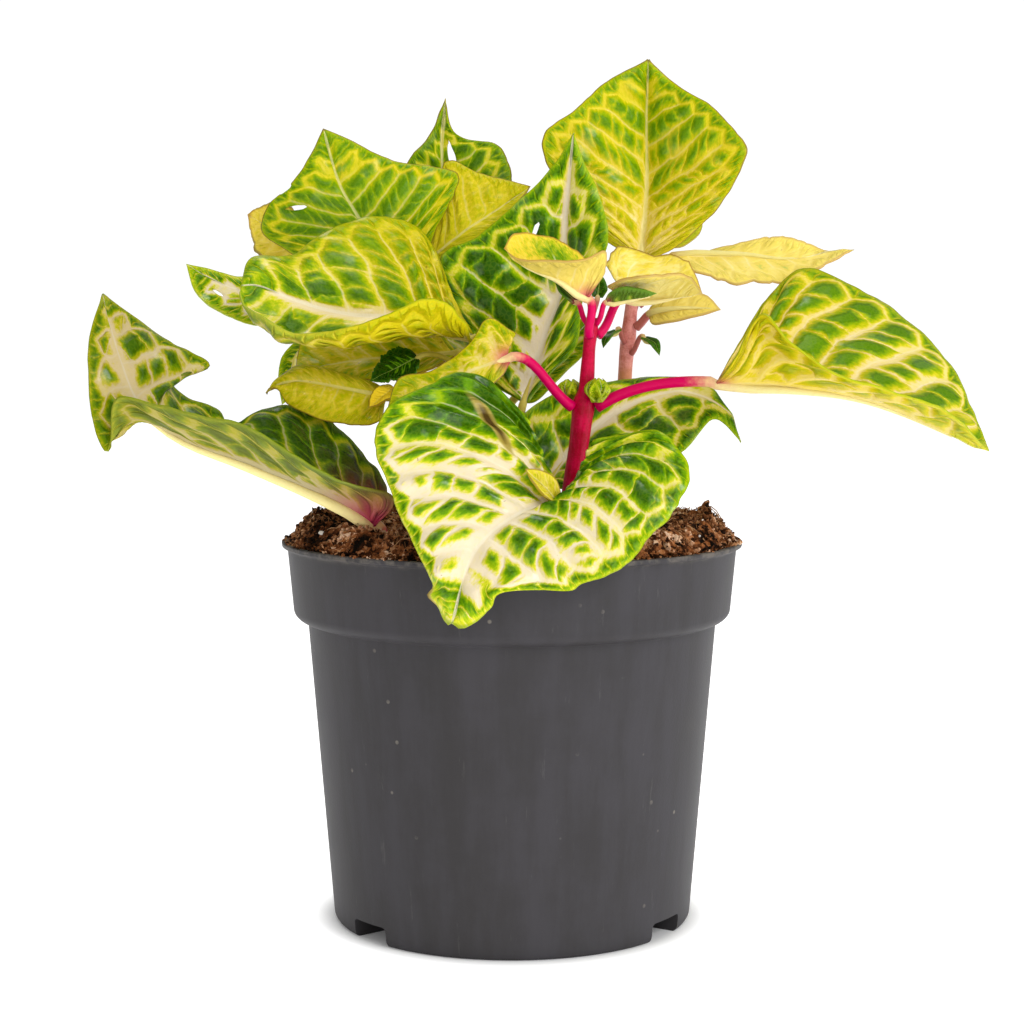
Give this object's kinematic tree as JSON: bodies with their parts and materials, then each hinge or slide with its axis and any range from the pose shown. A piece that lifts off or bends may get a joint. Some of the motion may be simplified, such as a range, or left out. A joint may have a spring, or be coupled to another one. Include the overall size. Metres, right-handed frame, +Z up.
{
  "type": "potted bloodleaf",
  "caption": "bushy variegated houseplant with broad pointed leaves on red stalks, standing in a tapered round plastic grower's pot with a stepped rim, filled with potting mix",
  "frame": {"origin": "centre of the flat underside of the pot, where the pot stands", "axes": "+Z up along the pot's axis, +Y away from the viewer, the plant's front faces -Y"},
  "size_m": [0.2211, 0.1307, 0.2251],
  "materials": {
    "pot": "matte dark grey moulded plastic with light scuffs",
    "potting_mix": "dry brown peat and fibre, crumbly",
    "stem_red": "smooth crimson stalk, satin",
    "stem_brown": "smooth pinkish brown stalk, satin",
    "leaf_mature": "satin leaf, green with cream and yellow veins",
    "leaf_lime": "satin leaf, lime green with yellow veins",
    "leaf_pale": "satin leaf, pale yellow",
    "leaf_young": "young leaf, dark green and crinkled"
  },
  "bodies": {
    "root": {"bud_left": "leaf_young", "bud_right": "leaf_young", "leaf_back_centre": "leaf_lime", "leaf_back_folded": "leaf_pale", "leaf_back_left": "leaf_mature", "leaf_back_middle": "leaf_mature", "leaf_back_right": "leaf_lime", "leaf_centre_back": "leaf_mature", "leaf_centre_flap": "leaf_lime", "leaf_far_left": "leaf_pale", "leaf_far_right": "leaf_pale", "leaf_folded": "leaf_mature", "leaf_front": "leaf_mature", "leaf_left_inner": "leaf_lime", "leaf_left_long": "leaf_mature", "leaf_left_low": "leaf_lime", "leaf_left_sliver": "leaf_mature", "leaf_left_tip": "leaf_mature", "leaf_left_wide": "leaf_mature", "leaf_right": "leaf_mature", "leaf_right_back": "leaf_mature", "leaf_right_low": "leaf_pale", "leaf_top": "leaf_lime", "leaf_upper_left": "leaf_lime", "leaf_yellow_left": "leaf_pale", "leaf_yellow_right": "leaf_pale", "leaf_young_hook_left": "leaf_young", "leaf_young_hook_right": "leaf_young", "leaf_young_inner": "leaf_young", "leaf_young_top": "leaf_young", "leaf_young_top_left": "leaf_young", "leaf_young_top_right": "leaf_young", "pot": "pot", "potting_mix": "potting_mix", "stem_front": "stem_red", "stem_left": "stem_brown", "stem_middle": "stem_brown", "stem_right": "stem_brown"}
  },
  "joints": []
}
